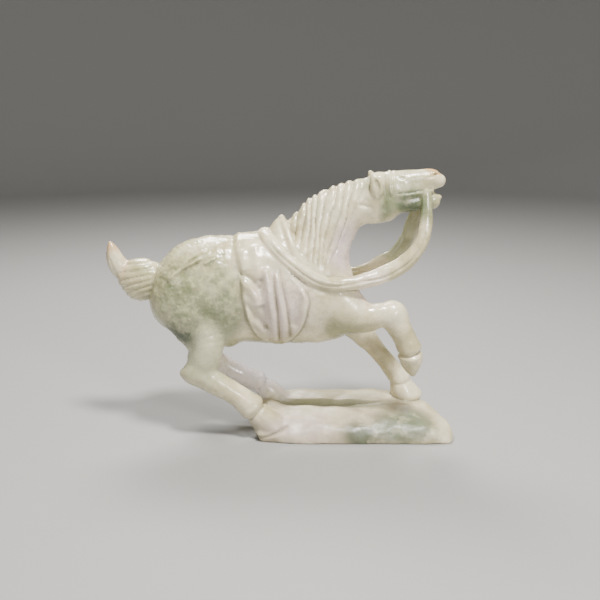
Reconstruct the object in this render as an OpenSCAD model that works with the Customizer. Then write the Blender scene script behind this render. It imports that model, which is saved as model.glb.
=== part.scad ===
// Jade figurine: a rearing, saddled horse carved from one stone with its rock base.
// +X points the way the horse faces, +Z is up. The horse's right side is at -Y.
// The origin is under the middle of the figurine, on the plane that it stands on.
// Every node is one carved feature of the same stone. Neighbours meet face to face.

/* [Base] */
// Length of the rock base
base_length = 109; // [104:1:114]
// Width of the rock base
base_width = 50; // [46:1:54]
// Height of the base along its front edge
base_front_height = 8; // [7:0.5:9]
// Height of the base along its back edge
base_back_height = 15; // [13:0.5:16]

/* [Body] */
// Width of the barrel
barrel_width = 42; // [38:1:44]
// Height of the barrel
barrel_height = 60; // [58:1:62]
// Width of the croup
croup_width = 40; // [37:1:42]
// Width of the chest
chest_width = 38; // [35:1:40]

/* [Neck and head] */
// Width of the neck at its middle
neck_width = 22; // [19:1:24]
// Width of the head at the cheeks
head_width = 16; // [14:1:18]
// Number of carved mane locks on each side
mane_locks = 13; // [10:1:14]

/* [Saddle cloth and reins] */
// How far the saddle cloth stands out from the body
cloth_relief = 1.6; // [1.2:0.1:2.2]
// How far the reins stand out from the shoulder
rein_relief = 2.6; // [2:0.1:3.2]
// Thickness of the free rein loops across the horse
rein_thickness = 7; // [6:0.5:8]

/* [Legs] */
// Distance between the middles of the left and right legs
leg_spread = 27; // [25:0.5:29]
// Diameter of a cannon at its middle
cannon_d = 12.4; // [11:0.2:13.4]

/* [Tail] */
// Width of the bound tail knot
knot_width = 18; // [16:0.5:20]

/* [Hidden] */

// Stone colours
pale_jade = [0.86, 0.88, 0.80];
green_jade = [0.72, 0.80, 0.68];
lavender_jade = [0.87, 0.85, 0.86];
tan_jade = [0.84, 0.76, 0.66];

leg_y = leg_spread / 2;
cannon_r = cannon_d / 2;
head_y = head_width / 2;
neck_y = neck_width / 2;
barrel_z = 81;

// Balls are [x, y, z, radius], ellipsoids are [x, y, z, x radius, y radius, z radius].

// Rock base: corner lumps, the front slab and the hump behind it
base_left = -15;
base_right = base_left + base_length;
base_edge = base_width / 2;

// Trunk
barrel_lumps = [
    [-30, 0, barrel_z, 18, barrel_width / 2 - 1, barrel_height / 2 - 1],
    [-10, 0, barrel_z - 0.6, 20, barrel_width / 2, barrel_height / 2],
    [14, 0, barrel_z - 1.6, 18, barrel_width / 2 - 1, barrel_height / 2 - 1]
];
croup_lumps = [
    [-34, 0, 85, 20, croup_width / 2, 26],
    [-45, 0, 86, 23, croup_width / 2, 23],
    [-55, 0, 76.6, 17.4, croup_width / 2 - 1, 19]
];
chest_lumps = [
    [14, 0, 78, 18, chest_width / 2, 28],
    [27, 0, 75.4, 16.6, chest_width / 2, 22.6]
];
neck_lumps = [
    [19, 0, 96, 17.4, neck_y + 4, 18],
    [23.6, 0, 111, 15.4, neck_y, 15],
    [34.6, 0, 124, 13, neck_y - 1.5, 12]
];
head_lumps = [
    [52, 0, 129, 10.5, head_y, 13],
    [58, 0, 134, 10, head_y - 0.3, 10],
    [70, 0, 137, 8, head_y - 1, 7.6],
    [79.3, 0, 139, 6.6, head_y - 2, 5.9]
];
jaw_lumps = [
    [56, 0, 128, 8, head_y - 1, 8],
    [70, 0, 127.8, 6, head_y - 2, 4.9],
    [79.8, 0, 127.6, 4.4, head_y - 3, 4.1]
];

// Mane crest: where the locks start, and where their ends reach on the neck
crest_start = [9, 124.6];
crest_end = [45, 140.8];
crest_arch = 4.6;
mane_foot_start = [7, 99];
mane_foot_end = [31, 93];

// Tail
knot_lumps = [
    [-71, 0, 85.4, 6, knot_width / 2 - 1, 9.6],
    [-77, 0, 86, 8, knot_width / 2, 11.2],
    [-84, 0, 87, 6.5, knot_width / 2 - 1.5, 7.5]
];
tail_balls = [[-86, 0, 89, 6.2], [-88.4, 0, 94, 5.8], [-90.4, 0, 100, 3.9], [-92, 0, 106.4, 1.2]];

// Legs as if on the middle plane; each module moves them to its own side
right_thigh_balls = [[-48, 5, 77, 17], [-45, 2, 64, 13], [-40.6, 0, 51, 9.4], [-44, 0, 40, 8.4]];
right_hind_balls = [
    [-44, 0, 37, 8], [-32, 0, 29, cannon_r + 0.4], [-24, 0, 23.8, cannon_r], [-17.2, 0, 18, cannon_r + 1.4]
];
right_hind_hoof_balls = [[-13.8, 0, 14.8, cannon_r + 0.5], [-9, 0, 9, 7.4], [-2.4, 0, 6.6, 5], [1.8, 0, 5, 4]];
left_thigh_balls = [[-48, -5, 77, 17], [-45, -2, 64, 13], [-40.6, 0, 51, 9.4], [-45, 0, 41, 8.4]];
left_hind_balls = [
    [-45, 0, 38, 8], [-33, 0, 31.6, cannon_r], [-24, 0, 27, cannon_r - 0.2], [-14, 0, 21.4, cannon_r + 0.4]
];
left_hind_hoof_balls = [[-10.4, 0, 18, cannon_r - 0.4], [-6.6, 0, 14, 6.6], [-1.6, 0, 11.6, 5]];
hock_point = [-53, 0, 37, 2.6];
right_forearm_balls = [
    [31, 2, 73, 13], [43.5, 0, 68.5, 8.2], [53.7, 0, 69.6, 7.2], [59.8, 0, 68.6, 7.6]
];
right_fore_balls = [[61.8, 0, 66, 7.4], [66.6, 0, 57.2, cannon_r], [68.6, 0, 51, cannon_r + 0.9]];
right_fore_hoof_balls = [[69.3, 0, 47, 7.1], [69.8, 0, 41, 4.6], [70.3, 0, 36.6, 1.8]];
left_forearm_balls = [[30, -2, 74, 13], [39, 0, 60, 9], [45.6, 0, 51.5, cannon_r + 0.4]];
left_fore_balls = [[46.6, 0, 50, cannon_r], [56.8, 0, 38.4, cannon_r - 0.8], [67.2, 0, 23.8, cannon_r]];
left_fore_hoof_balls = [[69, 0, 20, 6.4], [71, 0, 15.4, 9]];

// Free rein loops: [x, z, half width], from the mouth down to the shoulder
rein_route = [
    [77.4, 124, 2.6], [76.8, 116.6, 3.1], [74.2, 107.6, 3.9], [68.6, 100, 4.6], [61, 94.6, 4.7],
    [51, 90.4, 4.7], [38, 87.8, 4.7]
];
rein_mouth_y = 4.6;
rein_shoulder_y = 12.5;
// How much further back the left loop hangs, at the mouth and at the shoulder
left_rein_shift = [-5, 0];

// Outline of the band of the reins from the shoulder up over the withers, seen from the side
rein_band = [
    [45, 94], [45, 83], [30, 85], [20, 87], [10.8, 91], [4, 96.5], [-1.8, 102], [-7, 108], [-11, 114],
    [-12, 122], [2, 122], [1, 117.5], [4, 112], [6.4, 106], [9.5, 101], [16, 97.5], [25, 94.6], [34, 94]
];

// Outline of the saddle cloth, seen from the side
cloth_outline = [
    [-25, 116], [-23.4, 103], [-22.6, 92], [-20.8, 84], [-18.6, 74], [-17, 67], [-13.2, 60], [-8, 55.6],
    [-4, 51.6], [1, 53], [6, 59], [10, 67], [13.4, 75.6], [14.2, 79], [11.4, 86], [4, 97], [-4, 110],
    [-6, 116]
];
// Folds that hang in the cloth: [x, z] from top to hem
cloth_folds = [
    [[-15.4, 108], [-15, 97], [-18, 88]],
    [[-5.9, 94], [-4.7, 85.5], [-4, 76], [-2.5, 66.7], [-1.4, 57.5]],
    [[-0.6, 94], [0.9, 85.5], [1.9, 76], [2.9, 66.7], [3.3, 60]],
    [[10, 88], [12, 79], [9.6, 70], [5.6, 62]],
    [[-17, 76], [-14.6, 66], [-8.6, 58.4]]
];

// Crupper strap from the cloth back to the tail, seen from the side
crupper_outline = [
    [-23, 113], [-23, 107.6], [-39, 101.6], [-52, 93.4], [-66, 83], [-68.4, 86.6], [-53, 98], [-38, 106]
];

// Straps of the bridle, seen from the side
cheek_strap = [[55.4, 146], [55.4, 120], [58.6, 120], [58.6, 146]];
nose_strap = [[58, 130.4], [79, 132.4], [79, 136.4], [68, 134.4], [58, 133.4]];

pommel_balls = [[-4, 0, 109.4, 5.4], [-1.4, 0, 116.6, 2.6], [-0.4, 0, 119.8, 1.3]];
pommel_fold = [[0, 0, 118.8, 2.2], [2, 7, 116, 2.4], [5.4, 11.5, 107, 2.3], [9.6, 13.4, 100, 2]];

// Half the barrel's width at height z
function barrel_half(z) = barrel_width / 2 * sqrt(max(0, 1 - pow((z - barrel_z) / barrel_height * 2, 2)));

// A ball or an ellipsoid, grown outwards by grow
module lump(c, grow = 0, facets = 18) {
    r = len(c) == 4 ? [c[3], c[3], c[3]] : [c[3], c[4], c[5]];
    translate([c[0], c[1], c[2]]) scale(r + [grow, grow, grow]) sphere(1, $fn = facets);
}

// A smooth solid through a chain of lumps
module chain(lumps, grow = 0, facets = 18) {
    for (i = [0 : len(lumps) - 2]) {
        hull() {
            lump(lumps[i], grow, facets);
            lump(lumps[i + 1], grow, facets);
        }
    }
}

// Everything behind an outline in the side view
module side_cut(outline) {
    rotate([90, 0, 0]) linear_extrude(height = 80, center = true) polygon(outline);
}

// Puts a leg on the right (-1) or the left (1) side
module on_side(side) {
    translate([0, side * leg_y, 0]) children();
}

module base_shape() {
    corner = 7;
    difference() {
        union() {
            // Front slab, from the low left end to the rounded right end
            hull() {
                lump([base_left + 8, corner - base_edge, 2, 8, corner, 4.4]);
                lump([base_left + 10, 12, 2, 8, 10, 7]);
                lump([base_right - 6, corner - base_edge, 3, 6, corner, base_front_height - 3]);
                lump([base_right - 16, base_edge - corner, 4, corner, corner, base_back_height - 5]);
                lump([24, corner - base_edge, 3, corner, corner, base_front_height - 2.6]);
                lump([30, 3, 4, 26, corner, 8]);
            }
            // Hump along the back edge
            hull() {
                lump([5, 14, 5, 12, 9, base_back_height - 4.6]);
                lump([30, 14, 5, 20, 10, base_back_height - 3.6]);
                lump([68, 14, 5, 14, 10, base_back_height - 4]);
            }
            // Right end, falling from the left fore hoof to the front corner
            hull() {
                lump([70, 13, 6, 12, 10, base_back_height - 6]);
                lump([base_right - 12, 4, 4.6, 11, 9, base_front_height - 1]);
                lump([base_right - 7, corner - base_edge, 3, 6, corner, base_front_height - 3]);
            }
        }
        translate([0, 0, -50]) cube([400, 200, 100], center = true);
    }
}

module barrel_shape(grow = 0) chain(barrel_lumps, grow, 22);
module croup_shape(grow = 0) chain(croup_lumps, grow, 22);
module chest_shape(grow = 0) chain(chest_lumps, grow, 22);
module neck_shape(grow = 0) chain(neck_lumps, grow, 22);
module head_shape(grow = 0) chain(head_lumps, grow);
module jaw_shape(grow = 0) chain(jaw_lumps, grow);

module trunk_shape(grow = 0) {
    barrel_shape(grow);
    croup_shape(grow);
    chest_shape(grow);
    neck_shape(grow);
}

// One lock runs from the crest over the side of the neck to its pointed end
module mane_shape() {
    for (i = [0 : mane_locks - 1], side = [-1, 1]) {
        t = i / (mane_locks - 1);
        crest = crest_start + t * (crest_end - crest_start) + [0, crest_arch * sin(180 * t)];
        foot = mane_foot_start + t * (mane_foot_end - mane_foot_start);
        middle = 0.55 * crest + 0.45 * foot;
        chain([
            [crest[0], side * 1.6, crest[1] - 2.2, 2.2],
            [middle[0] - 1.6, side * (neck_y - 0.6), middle[1] + 3, 2],
            [foot[0], side * (neck_y + 3), foot[1], 1.5]
        ], facets = 6);
    }
}

module ear_shape(side) {
    chain([
        [50.5, side * 6.4, 133, 3.4], [49.8, side * 6.2, 138, 3.2], [48.6, side * 6, 141.8, 1.8],
        [48, side * 5.8, 143.8, 0.7]
    ], facets = 12);
}

module pommel_shape() {
    chain(pommel_balls);
    for (side = [-1, 1]) {
        chain([for (b = pommel_fold) [b[0], side * b[1], b[2], b[3]]], facets = 8);
    }
}

module cloth_shape() {
    intersection() {
        side_cut(cloth_outline);
        trunk_shape(cloth_relief);
    }
    for (fold = cloth_folds, side = [-1, 1]) {
        chain([for (p = fold) [p[0], side * (barrel_half(p[1]) + 0.6), p[1], 2]], facets = 6);
    }
}

module crupper_shape() {
    intersection() {
        side_cut(crupper_outline);
        trunk_shape(1.2);
    }
}

module rein_shape(side) {
    shift = side > 0 ? left_rein_shift : [0, 0];
    last = len(rein_route) - 1;
    chain([for (i = [0 : last])
        let (p = rein_route[i], t = i / last, bend = shift[0] * (1 - t) + shift[1] * t)
        [
            p[0] + bend, side * (rein_mouth_y + (rein_shoulder_y - rein_mouth_y) * pow(t, 0.8)), p[1],
            p[2], rein_thickness / 2, p[2]
        ]
    ], facets = 10);
    intersection() {
        side_cut(rein_band);
        trunk_shape(rein_relief);
        translate([0, side * 50, 100]) cube([200, 100, 200], center = true);
    }
}

module bridle_shape() {
    intersection() {
        union() {
            side_cut(cheek_strap);
            side_cut(nose_strap);
        }
        union() {
            head_shape(1);
            jaw_shape(1);
        }
    }
}

module knot_shape() {
    chain(knot_lumps);
    // Bound strands, slanting down towards the back
    for (i = [0 : 4], side = [-1, 1]) {
        x = -72 - 2.6 * i;
        chain([
            [x + 1.4, side * 3.4, 95.4 - 0.6 * i, 1.8],
            [x - 1.4, side * (knot_width / 2 - 1.4), 88 - i, 1.8],
            [x - 4, side * 4, 78 + i * 1.1, 1.8]
        ], facets = 6);
    }
}

module tail_tip_shape() chain(tail_balls, facets = 16);

module thigh_shape(side) on_side(side) chain(side < 0 ? right_thigh_balls : left_thigh_balls);

module hind_cannon_shape(side) {
    on_side(side) {
        chain(side < 0 ? right_hind_balls : left_hind_balls, facets = 16);
        hull() {
            lump(hock_point, 0, 12);
            lump(side < 0 ? right_hind_balls[0] : left_hind_balls[0], 0, 16);
        }
    }
}

module hind_hoof_shape(side) {
    on_side(side) chain(side < 0 ? right_hind_hoof_balls : left_hind_hoof_balls, facets = 16);
}

module forearm_shape(side) on_side(side) chain(side < 0 ? right_forearm_balls : left_forearm_balls);

module fore_cannon_shape(side) {
    on_side(side) chain(side < 0 ? right_fore_balls : left_fore_balls, facets = 16);
}

module fore_hoof_shape(side) {
    on_side(side) chain(side < 0 ? right_fore_hoof_balls : left_fore_hoof_balls, facets = 16);
}

module base() {
    color(pale_jade) base_shape();
}

module barrel() {
    color(pale_jade) barrel_shape();
}

module croup() {
    color(green_jade) difference() {
        croup_shape();
        barrel_shape();
    }
}

module chest() {
    color(pale_jade) difference() {
        chest_shape();
        barrel_shape();
    }
}

module neck() {
    color(lavender_jade) difference() {
        neck_shape();
        barrel_shape();
        chest_shape();
    }
}

module head() {
    color(pale_jade) difference() {
        head_shape();
        neck_shape();
    }
}

module lower_jaw() {
    color(green_jade) difference() {
        jaw_shape();
        head_shape();
        neck_shape();
    }
}

module mane() {
    color(pale_jade) difference() {
        mane_shape();
        trunk_shape();
        head_shape();
    }
}

module ear(side) {
    difference() {
        ear_shape(side);
        head_shape();
        neck_shape();
        mane_shape();
    }
}

module right_ear() {
    color(pale_jade) ear(-1);
}

module left_ear() {
    color(pale_jade) ear(1);
}

module saddle_cloth() {
    color(lavender_jade) difference() {
        cloth_shape();
        trunk_shape();
        mane_shape();
    }
}

module pommel() {
    color(pale_jade) difference() {
        pommel_shape();
        trunk_shape();
        cloth_shape();
        mane_shape();
    }
}

module crupper_strap() {
    color(green_jade) difference() {
        crupper_shape();
        trunk_shape();
        cloth_shape();
        knot_shape();
    }
}

module rein(side) {
    difference() {
        rein_shape(side);
        trunk_shape();
        cloth_shape();
        pommel_shape();
        mane_shape();
        head_shape();
        jaw_shape();
        forearm_shape(side);
    }
}

module right_rein() {
    color(pale_jade) rein(-1);
}

module left_rein() {
    color(pale_jade) difference() {
        rein(1);
        rein_shape(-1);
    }
}

module bridle() {
    color(green_jade) difference() {
        bridle_shape();
        head_shape();
        jaw_shape();
        neck_shape();
        mane_shape();
        ear_shape(-1);
        ear_shape(1);
        rein_shape(-1);
        rein_shape(1);
    }
}

module tail_knot() {
    color(pale_jade) difference() {
        knot_shape();
        croup_shape();
    }
}

module tail_tip() {
    color(tan_jade) difference() {
        tail_tip_shape();
        knot_shape();
    }
}

module thigh(side) {
    difference() {
        thigh_shape(side);
        croup_shape();
        barrel_shape();
        if (side > 0) thigh_shape(-1);
    }
}

module hind_cannon(side) {
    difference() {
        hind_cannon_shape(side);
        thigh_shape(side);
        base_shape();
    }
}

module hind_hoof(side) {
    difference() {
        hind_hoof_shape(side);
        hind_cannon_shape(side);
        base_shape();
    }
}

module right_thigh() {
    color(green_jade) thigh(-1);
}

module right_hind_cannon() {
    color(pale_jade) hind_cannon(-1);
}

module right_hind_hoof() {
    color(pale_jade) hind_hoof(-1);
}

module left_thigh() {
    color(green_jade) thigh(1);
}

module left_hind_cannon() {
    color(pale_jade) hind_cannon(1);
}

module left_hind_hoof() {
    color(pale_jade) hind_hoof(1);
}

module forearm(side) {
    difference() {
        forearm_shape(side);
        chest_shape();
        barrel_shape();
    }
}

module fore_cannon(side) {
    difference() {
        fore_cannon_shape(side);
        forearm_shape(side);
    }
}

module fore_hoof(side) {
    difference() {
        fore_hoof_shape(side);
        fore_cannon_shape(side);
        base_shape();
    }
}

module right_forearm() {
    color(pale_jade) forearm(-1);
}

module right_fore_cannon() {
    color(pale_jade) fore_cannon(-1);
}

module right_fore_hoof() {
    color(pale_jade) fore_hoof(-1);
}

module left_forearm() {
    color(pale_jade) forearm(1);
}

module left_fore_cannon() {
    color(pale_jade) difference() {
        fore_cannon(1);
        base_shape();
    }
}

module left_fore_hoof() {
    color(pale_jade) fore_hoof(1);
}

base();
barrel();
croup();
chest();
neck();
mane();
head();
lower_jaw();
right_ear();
left_ear();
bridle();
saddle_cloth();
pommel();
crupper_strap();
right_rein();
left_rein();
tail_knot();
tail_tip();
right_thigh();
right_hind_cannon();
right_hind_hoof();
left_thigh();
left_hind_cannon();
left_hind_hoof();
right_forearm();
right_fore_cannon();
right_fore_hoof();
left_forearm();
left_fore_cannon();
left_fore_hoof();
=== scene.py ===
"""Jade figurine: a rearing, saddled horse carved from one stone with its rock base.

The stone is carved here as a field of signed distances on a fine grid: rounded forms are blended
together, then folds, locks, straps and creases are cut into them. The finished field is turned
into one closed mesh for each carved feature, and neighbouring features share their cut faces.
Sizes are in millimetres until a mesh is made, with +X the way the horse faces and its right side
at -Y.
"""

import math

import bpy
import numpy as np
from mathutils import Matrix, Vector


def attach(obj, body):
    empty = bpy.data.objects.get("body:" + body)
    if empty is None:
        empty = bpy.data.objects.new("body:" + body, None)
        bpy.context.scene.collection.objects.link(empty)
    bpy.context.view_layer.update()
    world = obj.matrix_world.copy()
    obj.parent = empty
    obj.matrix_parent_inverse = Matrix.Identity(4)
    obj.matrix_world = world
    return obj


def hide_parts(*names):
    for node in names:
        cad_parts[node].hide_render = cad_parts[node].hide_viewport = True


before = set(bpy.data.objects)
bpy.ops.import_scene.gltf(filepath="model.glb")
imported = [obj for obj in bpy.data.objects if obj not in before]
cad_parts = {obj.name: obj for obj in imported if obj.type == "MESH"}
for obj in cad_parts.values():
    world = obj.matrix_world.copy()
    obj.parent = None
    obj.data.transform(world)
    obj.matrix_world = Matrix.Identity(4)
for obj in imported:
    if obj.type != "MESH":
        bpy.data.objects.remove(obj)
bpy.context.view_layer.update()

MM = 0.001
# The grid's spacing, and the distance that empty places start with
STEP = 0.55
FAR = 12.0

LOW = (-97.0, -28.0, -1.6)
HIGH = (97.0, 28.0, 147.6)
AXES = [np.arange(low, high, STEP, dtype=np.float32) for low, high in zip(LOW, HIGH)]
SHAPE = tuple(len(axis) for axis in AXES)
SIDE_X, SIDE_Z = np.meshgrid(AXES[0], AXES[2], indexing="ij")

PARTS = [
    "base", "barrel", "croup", "chest", "neck", "mane", "head", "lower_jaw", "right_ear", "left_ear",
    "bridle", "saddle_cloth", "pommel", "crupper_strap", "right_rein", "left_rein", "tail_knot",
    "tail_tip", "right_thigh", "right_hind_cannon", "right_hind_hoof", "left_thigh",
    "left_hind_cannon", "left_hind_hoof", "right_forearm", "right_fore_cannon", "right_fore_hoof",
    "left_forearm", "left_fore_cannon", "left_fore_hoof",
]
NUMBER = {name: i + 1 for i, name in enumerate(PARTS)}


# ---------------------------------------------------------------- forms on the carving grid

class Form:
    """Signed distances in one box of the grid, negative inside the stone."""

    def __init__(self, box):
        self.box = box
        self.x = AXES[0][self.box[0]][:, None, None]
        self.y = AXES[1][self.box[1]][None, :, None]
        self.z = AXES[2][self.box[2]][None, None, :]
        shape = tuple(run.stop - run.start for run in box)
        self.d = np.full(shape, FAR, dtype=np.float32)

    def inside(self, whole):
        """Where this form's box lies in the box of a larger form."""
        return tuple(slice(a.start - b.start, a.stop - b.start) for a, b in zip(self.box, whole.box))

    def raise_by(self, relief):
        """Lifts the surface by a height map of the side view."""
        self.d -= relief[self.box[0], self.box[2]][:, None, :]

    def cut(self, other, blend):
        """Takes another form away, whose box lies within this one's."""
        inner = other.inside(self)
        self.d[inner] = -smooth_min(-self.d[inner], other.d, blend)


def grid_box(low, high):
    """The part of the grid between two corners."""
    return tuple(
        slice(max(0, int((lo - axis[0]) / STEP)), min(len(axis), int((hi - axis[0]) / STEP) + 2))
        for lo, hi, axis in zip(low, high, AXES))


def smooth_step(low, high, value):
    t = np.clip((value - low) / (high - low), 0, 1)
    return t * t * (3 - 2 * t)


def smooth_min(a, b, blend):
    if blend <= 0:
        return np.minimum(a, b)
    h = np.clip(0.5 + 0.5 * (b - a) / blend, 0, 1)
    return b + (a - b) * h - blend * h * (1 - h)


def smooth_path(points, steps):
    """A Catmull-Rom curve through points of any number of values."""
    p = np.array(points, dtype=float)
    p = np.vstack([2 * p[0] - p[1], p, 2 * p[-1] - p[-2]])
    t = np.linspace(0, 1, steps, endpoint=False)[:, None]
    runs = []
    for a, b, c, d in zip(p[:-3], p[1:-2], p[2:-1], p[3:]):
        runs.append(b + 0.5 * t * (c - a + t * (2 * a - 5 * b + 4 * c - d + t * (3 * (b - c) + d - a))))
    return np.vstack(runs + [p[-2][None]])


def six(ball):
    """x, y, z and three radii, from a ball (x, y, z, radius) or an ellipsoid."""
    return list(ball) + [ball[3]] * 2 if len(ball) == 4 else list(ball)


def sweep(balls, reach=7.0):
    """A form through a chain of balls or ellipsoids, with its outline a smooth curve.

    Its distances are worked out as far as reach from the surface.
    """
    if len(balls) > 1:
        chain = smooth_path([six(ball) for ball in balls], 4)
    else:
        chain = np.array([six(balls[0])] * 2)
        chain[1, 0] += 0.01
    form = Form(grid_box((chain[:, :3] - chain[:, 3:]).min(0) - reach,
                         (chain[:, :3] + chain[:, 3:]).max(0) + reach))
    for a, b in zip(chain[:-1], chain[1:]):
        low = np.minimum(a[:3] - a[3:], b[:3] - b[3:]) - reach
        high = np.maximum(a[:3] + a[3:], b[:3] + b[3:]) + reach
        part = Form(grid_box(low, high))
        along = b[:3] - a[:3]
        length = float(along @ along)
        t = (part.x - a[0]) * along[0] + (part.y - a[1]) * along[1] + (part.z - a[2]) * along[2]
        t = np.clip(t / length, 0, 1).astype(np.float32)
        near = far = 0
        for axis, place in enumerate((part.x, part.y, part.z)):
            radius = a[3 + axis] + t * (b[3 + axis] - a[3 + axis])
            offset = (place - a[axis] - t * along[axis]) / radius
            near = near + offset * offset
            far = far + (offset / radius) ** 2
        near = np.sqrt(near)
        d = near * (near - 1) / np.maximum(np.sqrt(far), 1e-5)
        inner = part.inside(form)
        form.d[inner] = np.minimum(form.d[inner], d)
    return form


def join(forms, blend):
    """One form from several, blended."""
    whole = Form(tuple(slice(min(f.box[i].start for f in forms), max(f.box[i].stop for f in forms))
                       for i in range(3)))
    for form in forms:
        inner = form.inside(whole)
        whole.d[inner] = smooth_min(whole.d[inner], form.d, blend)
    return whole


# ---------------------------------------------------------------- drawings in a flat view

def path_distance(path, across=SIDE_X, up=SIDE_Z):
    """Distance from a line in the view, and how far along it the nearest point is (0 to 1)."""
    best = np.full(across.shape, 1e3, dtype=np.float32)
    along = np.zeros_like(best)
    count = len(path) - 1
    for i, (a, b) in enumerate(zip(path[:-1], path[1:])):
        run = b[:2] - a[:2]
        t = ((across - a[0]) * run[0] + (up - a[1]) * run[1]) / max(float(run @ run), 1e-9)
        t = np.clip(t, 0, 1)
        d = np.hypot(across - a[0] - t * run[0], up - a[1] - t * run[1])
        closer = d < best
        best[closer] = d[closer]
        along[closer] = ((i + t) / count)[closer]
    return best, along


def ridge(points, width, height, fade=0.15):
    """A rounded ridge (or a groove, with a height below 0) along a curve, fading at both ends."""
    d, along = path_distance(smooth_path(points, 5))
    ends = smooth_step(0, fade, along) * smooth_step(0, fade, 1 - along) if fade else 1
    return height * np.exp(-(d / width) ** 2) * ends


def outline_distance(points, across=SIDE_X, up=SIDE_Z, steps=4):
    """Signed distance from a smooth closed outline in the view, negative inside."""
    path = smooth_path(list(points) + [points[0]], steps)
    d, _ = path_distance(path, across, up)
    inside = np.zeros(across.shape, dtype=bool)
    for a, b in zip(path[:-1], path[1:]):
        if a[1] != b[1]:
            spans = (a[1] > up) != (b[1] > up)
            inside ^= spans & (across < a[0] + (up - a[1]) * (b[0] - a[0]) / (b[1] - a[1]))
    return np.where(inside, -d, d)


def plateau(signed, height, edge=0.7):
    """A raised area inside an outline, with a rounded edge."""
    return height * smooth_step(edge, -edge, signed)


# ---------------------------------------------------------------- the stone

class Stone:
    """The whole carving: its distances, and which feature each place belongs to."""

    def __init__(self):
        self.d = np.full(SHAPE, FAR, dtype=np.float32)
        self.nearest = np.full(SHAPE, FAR, dtype=np.float32)
        self.part = np.zeros(SHAPE, dtype=np.uint8)

    def add(self, name, form, blend):
        """Blends a feature in. It owns the places where it is nearer than those before it."""
        nearest = self.nearest[form.box]
        owned = form.d < nearest
        self.part[form.box][owned] = NUMBER[name]
        self.nearest[form.box] = np.minimum(nearest, form.d)
        self.d[form.box] = smooth_min(self.d[form.box], form.d, blend)

    def name(self, name, where):
        self.part[where] = NUMBER[name]


def mirrored(points, side):
    """Points given for the right side, put on the asked side."""
    return [(p[0], -side * p[1], *p[2:]) for p in points]


# Trunk and neck: ellipsoids (x, y, z, three radii)
CROUP = [
    (-36, 0, 84.3, 18, 20, 25), (-46, 0, 84.8, 21, 19.8, 22.6), (-56.4, 0, 75.6, 15.8, 18.6, 18),
]
BARREL = [
    (-36, 0, 82, 14, 19.5, 26), (-18, 0, 80.8, 16, 20.8, 29.6), (2, 0, 80, 16, 20.8, 29.6),
    (18, 0, 79, 15, 19.4, 27.4),
]
CHEST = [(16, 0, 78.6, 14, 18.8, 26.8), (27.4, 0, 76.5, 13.6, 17.8, 22.5)]
BRISKET = [(29.4, 0, 66, 10, 13, 11.6), (38, 0, 66, 6.6, 12, 9.6)]
FLANK = [(-30, 0, 62, 9, 15, 12), (-29.4, 0, 56, 6, 13, 7.6)]
NECK = [
    (18, 0, 94, 17.2, 15, 17), (23, 0, 109, 15.4, 11.4, 14), (29.6, 0, 119.6, 13.4, 9.8, 12),
    (38.4, 0, 126, 10.8, 8.6, 11.6),
]
CREST = [
    (7, 0, 114.2, 4, 5, 6), (10, 0, 115.6, 5, 5.6, 7), (18, 0, 121.6, 6.5, 6.2, 9),
    (27.5, 0, 126.6, 7, 6, 9), (37, 0, 129.3, 7, 5.6, 9), (45, 0, 131.6, 6, 5.2, 8.6),
]


def mane_place():
    """How far across the mane each place of the side view is: 0 at the withers, 1 behind the ear."""
    drop = SIDE_Z - 102
    across = np.full(SIDE_X.shape, 0.5, dtype=np.float32)
    for _ in range(8):
        across = np.clip((SIDE_X - 7 - (0.10 + 0.20 * across ** 2) * drop) / 22, -1, 2)
    return across


MANE_LOCKS = 7.3
MANE_OUTLINE = [
    (5, 124), (6.5, 110), (8.6, 102), (15, 99.4), (22, 97.4), (29, 103), (33.4, 113), (37.4, 122),
    (41, 130), (43.6, 139), (44, 146), (20, 146), (4, 132),
]


def mane_relief():
    """Rounded locks with cut grooves between them, fading out at their lower ends."""
    across = mane_place()
    wobble = 0.20 * np.sin(SIDE_Z * 0.13 + across * 9) + 0.06 * np.sin(SIDE_Z * 0.43 + across * 17)
    turns = across * MANE_LOCKS + wobble
    lock = np.sqrt(np.sin(math.pi * turns) ** 2 + 0.03)
    fine = np.sin(2 * math.pi * turns + 0.6)
    inside = smooth_step(1.4, -1.4, outline_distance(MANE_OUTLINE))
    return inside * (1.9 * lock ** 0.6 + 0.14 * fine - 1.3)


def carve_trunk(stone):
    barrel = sweep(BARREL)
    croup = join([sweep(CROUP), sweep(FLANK)], 5)
    chest = join([sweep(CHEST), sweep(BRISKET)], 5)
    neck = join([sweep(NECK), sweep(CREST)], 4)
    neck.raise_by(mane_relief())
    neck.raise_by(ridge([(40, 128), (45, 126.6), (50, 124.6)], 0.8, -0.7))
    stone.add("barrel", barrel, 0)
    stone.add("croup", croup, 6)
    stone.add("chest", chest, 6)
    stone.add("neck", neck, 5)


# Head: ellipsoids (x, y, z, three radii)
HEAD = [
    (49.5, 0, 130.4, 8.6, 8, 11.6), (56, 0, 134.4, 8.6, 7.6, 9.6), (64, 0, 136.4, 8, 6.8, 8.2),
    (72, 0, 138.8, 6.6, 6.1, 6.3), (78, 0, 140, 5.6, 5.3, 5.3), (82.7, 0, 139.3, 3.5, 4.1, 3.6),
]
JOWL = [(49.6, 0, 127.8, 8.8, 7.6, 11.6), (55.5, 0, 127.4, 8, 7, 9.6)]
JAW = [
    (56, 0, 128, 8, 6.8, 9), (63, 0, 127.9, 6, 6.2, 5.6), (71, 0, 128.5, 5, 5.6, 5),
    (79.6, 0, 128.3, 4.6, 4.4, 4),
]
LIPS = [
    (60, 0, 132.6, 6, 6.6, 5), (67, 0, 133, 5, 6, 3.6), (73, 0, 133.8, 4.4, 5.4, 2.8),
    (78, 0, 134.6, 3, 4.8, 2),
]
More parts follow.
